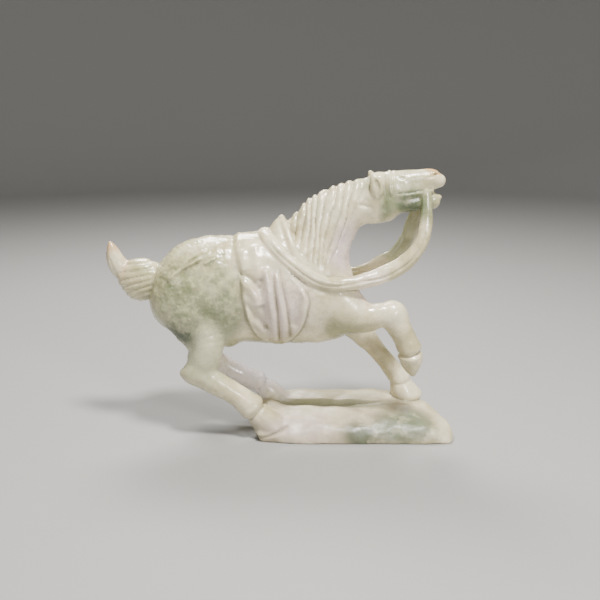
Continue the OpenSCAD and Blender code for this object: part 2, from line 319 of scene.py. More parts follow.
EAR = [
    (50, -6.8, 131, 2, 1.8, 2), (50, -7.8, 135, 3.5, 2.2, 3), (49, -7.8, 139.2, 3, 2, 3),
    (47.4, -7, 142.6, 1.3, 1.1, 1.5),
]
EAR_HOLLOW = [
    (50, -10.2, 132.6, 1, 1.6, 1.6), (50.2, -10.6, 136, 1.6, 2, 2),
    (49.2, -10.2, 139.6, 1, 1.8, 1.8),
]


# Lines on the head in the side view: points, width, height and how soon the ends fade
HEAD_LINES = {
    "cheek strap": ([(56.8, 147), (56.4, 139.6), (56.6, 135.9), (57.4, 132)], 0.75, 0.8, 0.1),
    "thin strap": ([(59.2, 147), (58.8, 140), (58.8, 134)], 0.6, 0.45, 0.1),
    "edge of the jowl": ([(54, 144), (53.9, 137), (54.4, 131), (53.9, 123)], 0.8, -0.9, 0.12),
    "mouth": ([(60, 133), (64, 133.5), (68.2, 133.8), (73.3, 134.6), (80, 135.4)], 0.5, -0.6, 0.08),
    "lip": ([(60.6, 131.6), (64, 132.2), (68.2, 132.5), (73.4, 133.3), (77, 133.8)], 0.9, 0.2, 0.15),
    "side of the nose": ([(64, 137.6), (70, 138.8), (76, 139.4)], 1.8, -0.45, 0.25),
    "upper eyelid": ([(60.6, 141.8), (62.6, 142.8), (65, 141.8)], 0.6, 0.4, 0.3),
    "lower eyelid": ([(60.8, 140), (62.8, 139.5), (65, 140.4)], 0.5, 0.25, 0.3),
    "eye": ([(61.4, 141), (63, 141.1), (64.4, 141)], 0.55, -0.35, 0.2),
    "rim of the nostril": ([(78.6, 142.8), (80.4, 144.2), (82.2, 143.2)], 0.7, 0.55, 0.2),
    "nostril": ([(79.6, 142.6), (80.9, 142.6)], 0.7, -0.9, 0),
}


def head_relief():
    return sum(ridge(*line) for line in HEAD_LINES.values())


def carve_head(stone):
    head = join([sweep(HEAD), sweep(JOWL), sweep(LIPS), sweep([(50, 0, 141, 3.6, 5, 2.2)])], 2.5)
    head.raise_by(head_relief())
    jaw = join([sweep(JAW), sweep([(80.4, 0, 130.6, 3, 3.8, 2), (83.2, 0, 130.8, 1.5, 2.6, 1.3)])], 1.6)
    jaw.raise_by(head_relief())
    stone.add("head", head, 3)
    stone.add("lower_jaw", jaw, 1.6)
    mouth = sweep([(80.2, 0, 134.6, 0.6, 8, 0.4), (86.5, 0, 134, 1.6, 9, 2)], reach=4)
    stone.d[mouth.box] = -smooth_min(-stone.d[mouth.box], mouth.d, 0.8)
    for name, side in (("right_ear", -1), ("left_ear", 1)):
        ear = sweep(mirrored(EAR, side))
        hollow = sweep(mirrored(EAR_HOLLOW, side), reach=2)
        ear.cut(hollow, 0.6)
        stone.add(name, ear, 0.8)


# Reins: (x, y, z, three radii) from the mouth, round the free loop and over the shoulder to the withers
SHOULDER_REIN = [
    (31, -16.4, 87.2, 3.7, 3, 3.4), (20, -18.2, 89.2, 3.7, 3, 3.5),
    (11.4, -18, 93.8, 3.7, 2.9, 3.7), (3.4, -16, 99.2, 3.7, 2.9, 3.7),
    (-2.4, -13, 104.6, 3.8, 3, 3.8), (-6.6, -8.8, 109.2, 3.8, 3, 3.4),
    (-8.6, -3.6, 111.2, 3.8, 3, 2.9),
]
RIGHT_REIN = [
    (75.6, -3.4, 134.4, 2.6, 2.2, 1.4), (75.8, -4.2, 131, 2.9, 2.4, 2.6),
    (76.2, -5.2, 126, 3.1, 2.6, 2.8), (76.1, -5.8, 120.4, 3.4, 2.8, 3),
    (75.5, -7, 114.8, 3.5, 3, 3.2), (74.1, -8, 109, 3.7, 3.2, 3.5), (71, -9, 103.2, 3.8, 3.4, 3.8),
    (66, -9.8, 97.9, 4.3, 3.5, 4.3), (60, -10.8, 94, 4.5, 3.5, 4.5),
    (51.4, -12, 90.4, 4.4, 3.6, 4.4), (42, -14, 88.2, 4.2, 3.6, 4),
] + SHOULDER_REIN
LEFT_REIN = [
    (72.8, -5, 126, 3, 2.4, 2.6), (72.4, -5.8, 120.6, 3.8, 2.7, 3.2), (71, -7, 113.8, 4.2, 3, 3.6),
    (68.6, -8, 106.9, 4.3, 3.2, 4), (64.1, -9, 99.6, 4.1, 3.4, 4.1),
    (58.2, -10.4, 95, 4.2, 3.5, 4.2), (51.8, -11.6, 91, 4.2, 3.6, 4.2),
    (46, -12.8, 87.8, 4.1, 3.6, 4), (40, -14, 85.8, 4, 3.6, 3.8),
] + SHOULDER_REIN
REIN_GROOVE = [
    (75.6, 116), (74.6, 111), (71.8, 104), (65.6, 97), (54, 90.6), (42.5, 88.8), (35.2, 87.4),
    (27.8, 87), (20.3, 88.6), (12.9, 92.6), (7.1, 97), (1.6, 101.2), (-2.6, 105.2), (-6.4, 109.6),
]
PEAK = [
    (-4.6, 0, 105, 8.4, 9, 6.6), (-1.8, 0, 112.2, 4.4, 5.5, 5), (-0.2, 0, 117.6, 2.2, 2.4, 2.4),
    (0.2, 0, 120.4, 0.9, 1.1, 1.1),
]
DRAPE = [
    (-1, 0, 113, 4, 5.6, 5), (0.4, 0, 107.6, 6, 11, 6), (3.6, 0, 102, 6.6, 14.4, 6),
    (8, 0, 98, 7, 16, 6),
]
COLLAR = [
    (0.4, -0.8, 119.6, 1.2), (2.4, -5, 115.6, 1.5), (4.4, -9.6, 110.8, 1.6),
    (6.4, -12.8, 105.6, 1.6), (8.8, -14.8, 100.6, 1.5), (12, -15.8, 97.4, 1.3),
]


def carve_reins(stone):
    for name, side, line in (("right_rein", -1, RIGHT_REIN), ("left_rein", 1, LEFT_REIN)):
        rein = sweep(mirrored(line, side))
        rein.raise_by(ridge(REIN_GROOVE, 0.7, -0.7, 0.06))
        rein.raise_by(ridge(REIN_GROOVE, 2.6, 0.25, 0.03))
        stone.add(name, rein, 0.7)


CLOTH_OUTLINE = [
    (-25.4, 118), (-24.6, 109), (-23.8, 105), (-22.3, 98.6), (-21.4, 93.2), (-20.2, 87.6),
    (-19.9, 81.6), (-18.6, 75.4), (-17.2, 69), (-14, 60.8), (-10.3, 56.6), (-5.8, 53.8), (-2, 52.4),
    (1, 52.8), (4, 54.8), (7, 58), (10, 62.4), (12.2, 67.4), (13.5, 72.6), (14.4, 78.8),
    (13.3, 83.4), (11.5, 87.2), (6, 95), (-2, 106), (-5, 118), (-10, 124), (-20, 124),
]
CLOTH_FOLDS = [
    # points, width, height
    ([(-8.3, 98), (-7, 92), (-5.9, 84.6), (-4.7, 75.5), (-3.8, 65), (-2.8, 52)], 2.0, 1.7),
    ([(-3.8, 95), (-3, 84.6), (-2.1, 77), (-1.4, 68.6), (-0.9, 52)], 0.8, -0.9),
    ([(-2, 95), (-0.9, 84.6), (0.4, 77), (1.3, 68.6), (1.4, 52)], 1.9, 1.6),
    ([(-1, 97), (1.2, 86), (3, 77), (4, 68.6), (5, 56)], 0.9, -1.0),
    ([(10.6, 87), (12.4, 80), (11.6, 72.4), (9.4, 65.4), (5.6, 59.4)], 1.6, 1.0),
    ([(7, 86), (8, 78), (7.6, 71), (6.2, 65)], 2.2, -0.5),
    ([(-23, 93.8), (-17.9, 92.4), (-14.3, 90), (-10.4, 85)], 1.5, -1.1),
    ([(-23, 89.4), (-17.6, 87.6), (-13.4, 82.6), (-10.6, 76)], 2.3, 1.2),
    ([(-21, 80), (-15.3, 75), (-10.9, 69.6), (-7.4, 63)], 1.7, -0.95),
    ([(-19, 72.6), (-14, 67), (-9.5, 61.8), (-6, 57)], 2.3, 0.8),
    ([(-14, 108), (-12.4, 100), (-11.4, 90)], 2.2, 0.8),
    ([(-20.4, 106), (-19, 99), (-18, 95)], 2.0, 0.6),
    ([(-10.6, 94), (-10, 82), (-8.6, 70), (-7, 62)], 1.5, -0.7),
]
CRUPPER_STRAP = [(-38.4, 103.2), (-45.4, 99), (-50.6, 96.2), (-55.3, 92.8), (-60.4, 88.8)]
CRUPPER_LINES = [
    # points, width, height
    ([(-36.4, 105.4), (-42, 103), (-47, 100.8), (-52, 97.2)], 1.0, 1.2),
    (CRUPPER_STRAP, 0.9, 1.7),
    ([(-39.6, 103.6), (-46, 100.4), (-51, 97.4)], 0.6, -0.5),
    ([(-41, 98.6), (-49, 94.2), (-55, 90)], 1.6, -0.4),
    ([(-33, 101.6), (-36.3, 100), (-40, 98)], 0.8, 1.0),
]


def carve_cloth(stone):
    """The saddle cloth lies on the trunk, with folds that hang down to its hem."""
    signed = outline_distance(CLOTH_OUTLINE)
    hem = smooth_step(90, 76, SIDE_Z)
    relief = plateau(signed + 0.5 - 0.5 * hem, 1.7, 1.9) * (1 - hem) + plateau(signed, 2.1, 0.8) * hem
    relief += 0.45 * hem * np.exp(-((signed + 1.2) / 0.8) ** 2)
    inside = smooth_step(0.4, -0.6, signed)
    for points, width, height in CLOTH_FOLDS:
        relief += inside * ridge(points, width, height, 0.1)
    for points, width, height in CRUPPER_LINES:
        relief += ridge(points, width, height)
    relief *= smooth_step(121, 112, SIDE_Z)
    stone.d -= relief[:, None, :]
    return signed


def carve_withers(stone):
    stone.add("pommel", join([sweep(PEAK), sweep(DRAPE)], 3), 3)
    for side in (-1, 1):
        stone.add("pommel", sweep(mirrored(COLLAR, side)), 1.6)


KNOT = [
    (-69.5, 0, 86, 5.6, 8, 9.6), (-75, 0, 86, 6.6, 8.8, 11.4), (-80, 0, 86, 6.2, 8.4, 10.8),
    (-84.4, 0, 88, 4.2, 6.8, 7),
]
TAIL = [
    (-84.4, 0, 89.2, 5.2), (-87.6, 0, 93, 5.4), (-90, 0, 98, 4.4), (-91.2, 0, 103, 2.6),
    (-92, 0, 106.2, 0.9),
]


def carve_tail(stone):
    knot = sweep(KNOT)
    slant = 0.46 - 0.021 * (SIDE_Z - 78)
    strands = (SIDE_Z - 76.6 - slant * (SIDE_X + 83)) / 3.7
    relief = 1.0 * np.sqrt(np.abs(np.sin(math.pi * strands)) + 0.04) - 0.6
    knot.raise_by(relief * smooth_step(-68, -70.5, SIDE_X))
    stone.add("tail_knot", knot, 1.2)
    tip = sweep(TAIL)
    tip.raise_by(ridge([(-86, 86), (-89.6, 92), (-91.6, 99)], 0.8, -0.4))
    stone.add("tail_tip", tip, 1.4)


# Legs: balls (x, y, z, radius) or ellipsoids, for the right side
RIGHT_THIGH = [
    (-47, -8, 80, 19, 12.5, 20), (-46, -10.6, 66, 14.6, 10, 13), (-41, -13, 54, 10, 8, 9),
    (-41.6, -13.6, 46, 8.8, 7, 8), (-44, -13.6, 39, 8.2, 6.4, 7),
]
RIGHT_HIND = [
    (-45.4, -13.6, 36.6, 7.8, 6.2, 6.6), (-39, -13.7, 33, 7, 6, 6.4),
    (-31.6, -13.8, 28.6, 6.4, 5.8, 6.2), (-24, -13.9, 23.7, 6.2, 5.7, 6),
    (-17.4, -14, 18.4, 7, 6.6, 7),
]
RIGHT_HOCK = [(-47, -13.6, 36.4, 6.4, 5, 5), (-52.6, -13.6, 37, 2.8, 3, 2.8)]
RIGHT_HIND_HOOF = [
    (-14.4, -14, 14.8, 6.4, 6.4, 6.6), (-10.8, -14, 10.6, 7, 7.2, 7), (-5.6, -14, 6.6, 7.8, 8, 6.4),
    (-0.6, -14, 4, 6.2, 7, 4.6),
]
LEFT_THIGH = [
    (-44, -8, 80, 16, 12.5, 18), (-42.6, -10.6, 66, 11.8, 10, 12), (-39.4, -13, 54, 8.6, 8, 9),
    (-41.4, -13.2, 46, 8.6, 7, 8), (-44.4, -13.2, 40, 8.2, 6.4, 7),
]
LEFT_HIND = [
    (-45.4, -13.2, 38, 7.6, 6.2, 6.4), (-39.6, -13.2, 34.6, 6.4, 5.8, 5.8),
    (-32.6, -13.2, 31.2, 5.8, 5.6, 5.4), (-24.6, -13.2, 26.6, 5.8, 5.6, 5.4),
    (-14.6, -13.2, 21.2, 6.6, 6.3, 6.1),
]
LEFT_HIND_HOOF = [
    (-10.8, -13.2, 18, 5.9, 6, 6), (-7, -13.2, 14.6, 7, 7, 6.8), (-2, -13.2, 11.4, 6.6, 7, 5.4),
]
RIGHT_FOREARM = [
    (29, -8, 76, 13, 9, 15), (37.4, -11, 70, 11, 8.4, 11), (45, -12.8, 68.2, 9, 7.2, 8),
    (53, -13, 69.6, 7.4, 6.4, 6.5), (59, -13, 69.6, 6.6, 6.4, 7.4),
]
KNEE = [
    (58.6, -13, 73, 3, 4.6, 3.6), (61.6, -13, 72.6, 3.4, 4.4, 3.6), (64, -13, 68, 3.2, 4.4, 3.6),
]
RIGHT_FORE = [
    (59.8, -13, 68.6, 6.9, 6.4, 7.4), (63.4, -13, 62, 6.5, 6, 6.4), (66.4, -13, 56.6, 6.2, 5.7, 6),
    (68.9, -13, 51, 6.7, 6.4, 5.6),
]
RIGHT_FORE_HOOF = [
    (69.2, -13, 48, 6.2, 6, 3.6), (69.9, -13, 45.4, 6.5, 6.3, 4.4), (70.4, -13, 41, 4.6, 5.2, 4),
    (71.2, -13, 37, 1.8, 3.4, 1.8),
]
LEFT_FOREARM = [
    (27, -8, 73, 13, 9, 14), (35, -11.4, 63, 10, 8, 10), (42, -12.6, 55, 7.4, 6.6, 7.6),
    (47, -12.8, 49.6, 6.3, 6, 6.3),
]
LEFT_FORE = [
    (48, -12.8, 48.6, 6, 6, 6), (53.4, -12.8, 42.4, 5.2, 5.5, 5.2),
    (59.4, -12.8, 35, 5.1, 5.4, 5.1), (64.4, -12.8, 28.6, 5.3, 5.6, 5.3),
    (67.8, -12.8, 24, 6.2, 6.2, 6),
]
LEFT_FORE_HOOF = [
    (68.6, -12.8, 21.4, 6, 6.2, 5.4), (70.4, -12.8, 17.6, 7.8, 7.8, 5.4),
    (72, -12.8, 14.6, 9, 8.8, 5),
]


LEG_CREASES = [
    # side, points, width, height
    (-1, [(-8.6, 20), (-12.6, 16.4), (-16.6, 12), (-20.6, 8.6)], 1.0, -1.0),
    (-1, [(-10.4, 22.4), (-15, 18.6), (-19.4, 14.4), (-23, 10.6)], 1.4, 0.6),
    (-1, [(-17, 3.4), (-12, 2.8), (-7, 3.6), (-1.4, 5.8), (4, 8.6)], 0.8, -1.0),
    (-1, [(60.6, 48.6), (64.6, 48), (68.6, 48), (72.8, 49.4), (77.6, 51.6)], 0.8, -0.75),
    (-1, [(61.4, 46.6), (65.4, 46), (69.4, 46), (73, 47.2), (77, 48.8)], 0.9, 0.55),
    (1, [(-8.4, 25.4), (-11.4, 21.6), (-14.4, 17.6)], 1.0, -0.7),
    (1, [(-10.4, 27.6), (-14, 23.4), (-17, 19.6)], 1.4, 0.6),
    (1, [(61, 22.6), (66, 22), (71, 23), (76, 25.4)], 0.9, -0.45),
]


def carve_legs(stone):
    right = (RIGHT_THIGH, RIGHT_HIND, RIGHT_HIND_HOOF, RIGHT_FOREARM, RIGHT_FORE, RIGHT_FORE_HOOF)
    left = (LEFT_THIGH, LEFT_HIND, LEFT_HIND_HOOF, LEFT_FOREARM, LEFT_FORE, LEFT_FORE_HOOF)
    for word, side, leg in (("right", -1, right), ("left", 1, left)):
        thigh, hind, hind_hoof, forearm, fore, fore_hoof = leg
        stone.add(word + "_thigh", sweep(mirrored(thigh, side)), 4)
        hock = join([sweep(mirrored(hind, side)), sweep(mirrored(RIGHT_HOCK, side))], 3)
        stone.add(word + "_hind_cannon", hock, 2.4)
        stone.add(word + "_hind_hoof", sweep(mirrored(hind_hoof, side)), 0.8)
        stone.add(word + "_forearm", sweep(mirrored(forearm, side)), 4)
        cannon = sweep(mirrored(fore, side))
        if side < 0:
            cannon = join([cannon, sweep(KNEE)], 2)
        stone.add(word + "_fore_cannon", cannon, 2)
        stone.add(word + "_fore_hoof", sweep(mirrored(fore_hoof, side)), 0.8)


def carve_creases(stone):
    y = AXES[1][None, :, None]
    for side, points, width, height in LEG_CREASES:
        relief = ridge(points, width, height, 0.08)[:, None, :]
        stone.d -= relief * smooth_step(1, 5, side * y)


# The base's outline from above
BASE_PLAN = [
    (-15.4, -19), (-10, -24), (20, -25), (60, -25), (87, -25), (93.6, -21.4), (94.4, -10),
    (90.4, 4), (84, 17), (77, 24), (60, 25), (10, 25), (-8, 23), (-14, 10),
]
# How far the groove along the base's top turns away from +X, as a slope
GROOVE_SLANT = 0.06


def carve_base(stone):
    """A slab with a low front wall, a groove along it and a hump behind, falling away at the right."""
    form = Form(grid_box((-20, -28, -2), (96, 28, 22)))
    x, y = np.meshgrid(AXES[0][form.box[0]], AXES[1][form.box[1]], indexing="ij")
    wall = outline_distance(BASE_PLAN, x, y, steps=5)
    back = np.clip((y + 27) / 25, 0, 1)
    slope = 1 - (1 - back) ** 1.7
    rightward = smooth_step(0, 40, x)
    top = 4.2 + 1.0 * rightward + (9.4 - 1.2 * rightward) * slope
    across = y - 5 + GROOVE_SLANT * x
    groove = smooth_step(-9, 1, across) * smooth_step(3, 1.2, across) * smooth_step(-8, 4, x)
    top -= 4.2 * groove * smooth_step(76, 20, x)
    hump = np.exp(-((y - 15) / 6.5) ** 2)
    top += 1.7 * hump * smooth_step(-4, 14, x) * smooth_step(84, 50, x)
    top += 0.25 * np.sin(x * 0.31 + 1.3) * np.sin(y * 0.27)
    top += 0.25 * np.sin(x * 0.13 + y * 0.4)
    top -= 5.4 * smooth_step(70, 95, x) * (0.3 + 0.7 * back)
    above = form.z - top[:, :, None]
    undercut = 2.6 * smooth_step(10, -14, x)[:, :, None] * smooth_step(4.5, 0, form.z)
    lean = wall[:, :, None] + 0.06 * form.z + undercut
    form.d = -smooth_min(-above, -lean, 7.0)
    form.d = -smooth_min(-form.d, form.z, 1.2)
    stone.add("base", form, 0.8)


# Waves that cross the surface: rates along x, y and z (radians per mm), and height (mm)
WAVES = [
    (0.42, 0.31, 0.37, 0.13), (0.23, 0.52, -0.29, 0.14), (0.71, -0.44, 0.58, 0.06),
    (-0.33, 0.9, 0.77, 0.05),
]
DIMPLE = 0.12


def wear(stone):
    """The hand-cut unevenness of the polished surface, a dimpled rump and the flat underside."""
    x, y, z = AXES[0][:, None, None], AXES[1][None, :, None], AXES[2][None, None, :]
    for a, b, c, height in WAVES:
        wave = np.sin(a * x + 1.7 * np.sin(0.11 * z + 0.2 * y)) * np.sin(b * y + c * z + 0.8)
        stone.d += height * wave
    croup = smooth_step(-22, -32, x) * smooth_step(-70, -62, x) * smooth_step(50, 60, z)
    fine = np.sin(1.9 * x + 2.3 * np.sin(0.9 * z) + y)
    fine = fine * np.sin(1.6 * z + 2.1 * np.sin(1.1 * x + 0.7 * y))
    broad = np.sin(1.05 * x - 1.3 * z + 1.6 * np.sin(0.5 * x + 0.8 * y))
    broad = broad * np.sin(0.8 * y + 0.9 * x)
    stone.d += DIMPLE * croup * (fine + 0.6 * broad)
    stone.d = np.maximum(stone.d, -z)


# Where the trunk's features are cut across, and a line down the middle of the bridle
CROUP_END = -21.5
CHEST_START = 9
BRIDLE = [(58.4, 147), (58, 139), (57.8, 131)]


def name_trunk_parts(stone, cloth):
    """Gives the trunk's surface to the cloth, mane, straps and bridle that are carved on it."""
    x = AXES[0][:, None, None]
    z = AXES[2][None, None, :]
    trunk = np.isin(stone.part, [NUMBER[n] for n in ("barrel", "croup", "chest", "neck")])
    skin = stone.d > -3.0
    neck = stone.part == NUMBER["neck"]
    stone.name("croup", trunk & (x < CROUP_END))
    stone.name("barrel", trunk & (x >= CROUP_END) & (x < CHEST_START) & ~neck)
    stone.name("chest", trunk & (x >= CHEST_START) & ~neck)
    stone.name("mane", neck & skin & (outline_distance(MANE_OUTLINE) < 0)[:, None, :])
    strap = path_distance(smooth_path(CRUPPER_STRAP, 5))[0] < 2.8
    stone.name("crupper_strap", trunk & skin & strap[:, None, :] & (z > 80))
    stone.name("saddle_cloth", trunk & ~neck & skin & (cloth < 0)[:, None, :])
    bridle = path_distance(smooth_path(BRIDLE, 5))[0] < 1.9
    head = stone.part == NUMBER["head"]
    stone.name("bridle", head & (stone.d > -1.8) & bridle[:, None, :])


# ---------------------------------------------------------------- meshes from the stone

CORNERS = [(0, 0), (1, 0), (1, 1), (0, 1)]


def surface_nets(d, part):
    """Quads between unlike places, with one shared point in every grid cell that they cross.

    A quad's front is the feature before it along its axis and its back the one after it, 0 in air.
    """
    _, ny, nz = d.shape
    owner = np.where(d < 0, part, 0)
    quads, fronts, backs, cells, spots, outers = [], [], [], [], [], []
    for axis in range(3):
        first = [slice(None)] * 3
        second = [slice(None)] * 3
        first[axis], second[axis] = slice(0, -1), slice(1, None)
        one, two = owner[tuple(first)], owner[tuple(second)]
        where = np.nonzero(one != two)
        side_axes = [(axis + 1) % 3, (axis + 2) % 3]
        keep = (where[side_axes[0]] > 0) & (where[side_axes[1]] > 0)
        where = tuple(w[keep] for w in where)
        label_one, label_two = one[where], two[where]
        far = list(where)
        far[axis] = far[axis] + 1
        d_one, d_two = d[where], d[tuple(far)]
        outer = (label_one == 0) | (label_two == 0)
        t = np.where(outer, d_one / np.where(outer, d_one - d_two, 1), 0.5)
        spot = np.stack([w.astype(np.float64) for w in where], 1)
        spot[:, axis] += t
        ring = []
        for du, dv in CORNERS:
            corner = list(where)
            corner[side_axes[0]] = corner[side_axes[0]] - 1 + du
            corner[side_axes[1]] = corner[side_axes[1]] - 1 + dv
            cell = (corner[0] * ny + corner[1]) * nz + corner[2]
            ring.append(cell)
            cells.append(cell)
            spots.append(spot)
            outers.append(outer)
        quads.append(np.stack(ring, 1))
        fronts.append(label_one)
        backs.append(label_two)
    quads = np.concatenate(quads)
    fronts, backs = np.concatenate(fronts), np.concatenate(backs)
    names, quads = np.unique(quads, return_inverse=True)
    quads = quads.reshape(-1, 4)
    index = np.searchsorted(names, np.concatenate(cells))
    spots, outers = np.concatenate(spots), np.concatenate(outers)
    on_surface = np.bincount(index, outers, len(names)) > 0
    weight = np.where(on_surface[index], outers, 1.0)
    total = np.bincount(index, weight, len(names))
    sums = [np.bincount(index, weight * spots[:, i], len(names)) for i in range(3)]
    points = np.stack(sums, 1) / total[:, None]
    points = points * STEP + np.array([axis[0] for axis in AXES])
    return points, quads, fronts, backs


def quad_normals(points, quads):
    p = points[quads]
    return np.cross(p[:, 2] - p[:, 0], p[:, 3] - p[:, 1])


def unit(vectors):
    return vectors / np.maximum(np.linalg.norm(vectors, axis=1), 1e-12)[:, None]


def smooth_normals(points, quads, flip):
    """One normal for each surface point, shared by all the features that meet there."""
    face = quad_normals(points, quads)
    face[flip] *= -1
    total = np.zeros_like(points)
    for i in range(3):
        for corner in range(4):
            total[:, i] += np.bincount(quads[:, corner], face[:, i], len(points))
    return unit(total)


def crease_depth(d, points, reach):
    """How hollow the surface is at each point: above 0 in a groove, below 0 on an edge."""
    steps = max(1, round(reach / STEP))
    origin = np.array([axis[0] for axis in AXES])
    spots = np.rint((points - origin) / STEP).astype(int)
    limits = np.array(SHAPE) - 1
    total = np.zeros(len(points))
    for axis in range(3):
        for way in (-steps, steps):
            moved = spots.copy()
            moved[:, axis] += way
            moved = np.clip(moved, 0, limits)
            total += d[moved[:, 0], moved[:, 1], moved[:, 2]]
    spots = np.clip(spots, 0, limits)
    return (d[spots[:, 0], spots[:, 1], spots[:, 2]] - total / 6) / (steps * STEP)


def make_mesh(name, ring, normals, points, creases):
    """A closed mesh of the quads in ring, which numbers the points of the whole stone."""
    used, local = np.unique(ring, return_inverse=True)
    mesh = bpy.data.meshes.new(name)
    mesh.vertices.add(len(used))
    mesh.vertices.foreach_set("co", (points[used] * MM).astype(np.float32).ravel())
    mesh.loops.add(local.size)
    mesh.loops.foreach_set("vertex_index", local.astype(np.int32).ravel())
    mesh.polygons.add(len(ring))
    mesh.polygons.foreach_set("loop_start", np.arange(0, local.size, 4, dtype=np.int32))
    mesh.update(calc_edges=True)
    mesh.polygons.foreach_set("use_smooth", np.ones(len(ring), dtype=bool))
    mesh.normals_split_custom_set(normals.reshape(-1, 3).tolist())
    depth = mesh.attributes.new("crease", "FLOAT", "POINT")
    depth.data.foreach_set("value", creases[used].astype(np.float32))
    return mesh


def make_pieces(stone, material):
    """One piece for each feature: smooth outside, and flat where it meets its neighbours."""
    points, quads, fronts, backs = surface_nets(stone.d, stone.part)
    creases = 0.5 * (crease_depth(stone.d, points, 1.1) + crease_depth(stone.d, points, 2.2))
    outer = (fronts == 0) | (backs == 0)
    smooth = smooth_normals(points, quads[outer], fronts[outer] == 0)
    for name in PARTS:
        number = NUMBER[name]
        mine = (fronts == number) | (backs == number)
        ring = quads[mine]
        turn = backs[mine] == number
        ring[turn] = ring[turn][:, ::-1]
        plain = unit(quad_normals(points, ring))
        normals = np.where(outer[mine][:, None, None], smooth[ring], plain[:, None, :])
        mesh = make_mesh("carved_" + name, ring, normals, points, creases)
        mesh.materials.append(material)
        piece = bpy.data.objects.new("carved_" + name, mesh)
        bpy.context.scene.collection.objects.link(piece)
        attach(piece, "root")
        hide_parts(name)


# ---------------------------------------------------------------- material

class Nodes:
    """A short way to write a node tree."""

    def __init__(self, name):
        self.material = bpy.data.materials.new(name)
        self.material.use_nodes = True
        self.tree = self.material.node_tree
        self.tree.nodes.clear()

    def add(self, kind, settings=None, **inputs):
        node = self.tree.nodes.new(kind)
        for key, value in (settings or {}).items():
            setattr(node, key, value)
        for key, value in inputs.items():
            self.set(node, key.replace("_", " "), value)
        return node

    def set(self, node, key, value):
        """Links or sets an input, named by its label or by its place in the list."""
        socket = node.inputs[key]
        if isinstance(value, bpy.types.NodeSocket):
            self.tree.links.new(value, socket)
        else:
            socket.default_value = value

    def calc(self, operation, a, b):
        node = self.add("ShaderNodeMath", {"operation": operation})
        self.set(node, 0, a)
        self.set(node, 1, b)
        return node.outputs[0]

    def times(self, *values):
        product = values[0]
        for value in values[1:]:
            product = self.calc("MULTIPLY", product, value)
        return product

    def vector(self, operation, a, b):
        node = self.add("ShaderNodeVectorMath", {"operation": operation})
        self.set(node, 0, a)
        self.set(node, 1, b)
        return node.outputs[0]

    def length(self, vector):
        node = self.add("ShaderNodeVectorMath", {"operation": "LENGTH"}, Vector=vector)
        return node.outputs["Value"]

    def noise(self, place, scale, detail, rough):
        node = self.add("ShaderNodeTexNoise", Vector=place, Scale=scale, Detail=detail, Roughness=rough)
        return node.outputs["Fac"]

    def spread(self, value, low, high, out_low=0.0, out_high=1.0):
        """A smooth step from out_low at low to out_high at high."""
        node = self.add("ShaderNodeMapRange", {"interpolation_type": "SMOOTHSTEP"}, Value=value)
        self.set(node, "From Min", low)
        self.set(node, "From Max", high)
        self.set(node, "To Min", out_low)
        self.set(node, "To Max", out_high)
        return node.outputs["Result"]

    def blend(self, amount, a, b):
        node = self.add("ShaderNodeMix", {"data_type": "RGBA"})
        self.set(node, 0, amount)
        self.set(node, 6, a)
        self.set(node, 7, b)
        return node.outputs[2]


# The stone's colours (linear); the crease colour is painted shade, and PALE and FROST also serve as
# painted highlight and light where marked
CREAM = (0.53, 0.465, 0.27, 1)
PALE = (0.82, 0.735, 0.52, 1)
GREEN = (0.175, 0.215, 0.10, 1)
DEEP_GREEN = (0.045, 0.065, 0.03, 1)
LAVENDER = (0.72, 0.58, 0.59, 1)
FROST = (0.88, 0.80, 0.82, 1)
TAN = (0.62, 0.34, 0.13, 1)
# Painted shade, put into the creases and grooves
CREASE_SHADE = (0.22, 0.20, 0.12, 1)
SEA_GREEN = (0.42, 0.45, 0.285, 1)
STRAW = (0.64, 0.63, 0.36, 1)
CLAY = (0.33, 0.27, 0.185, 1)
MOSS = (0.10, 0.125, 0.065, 1)
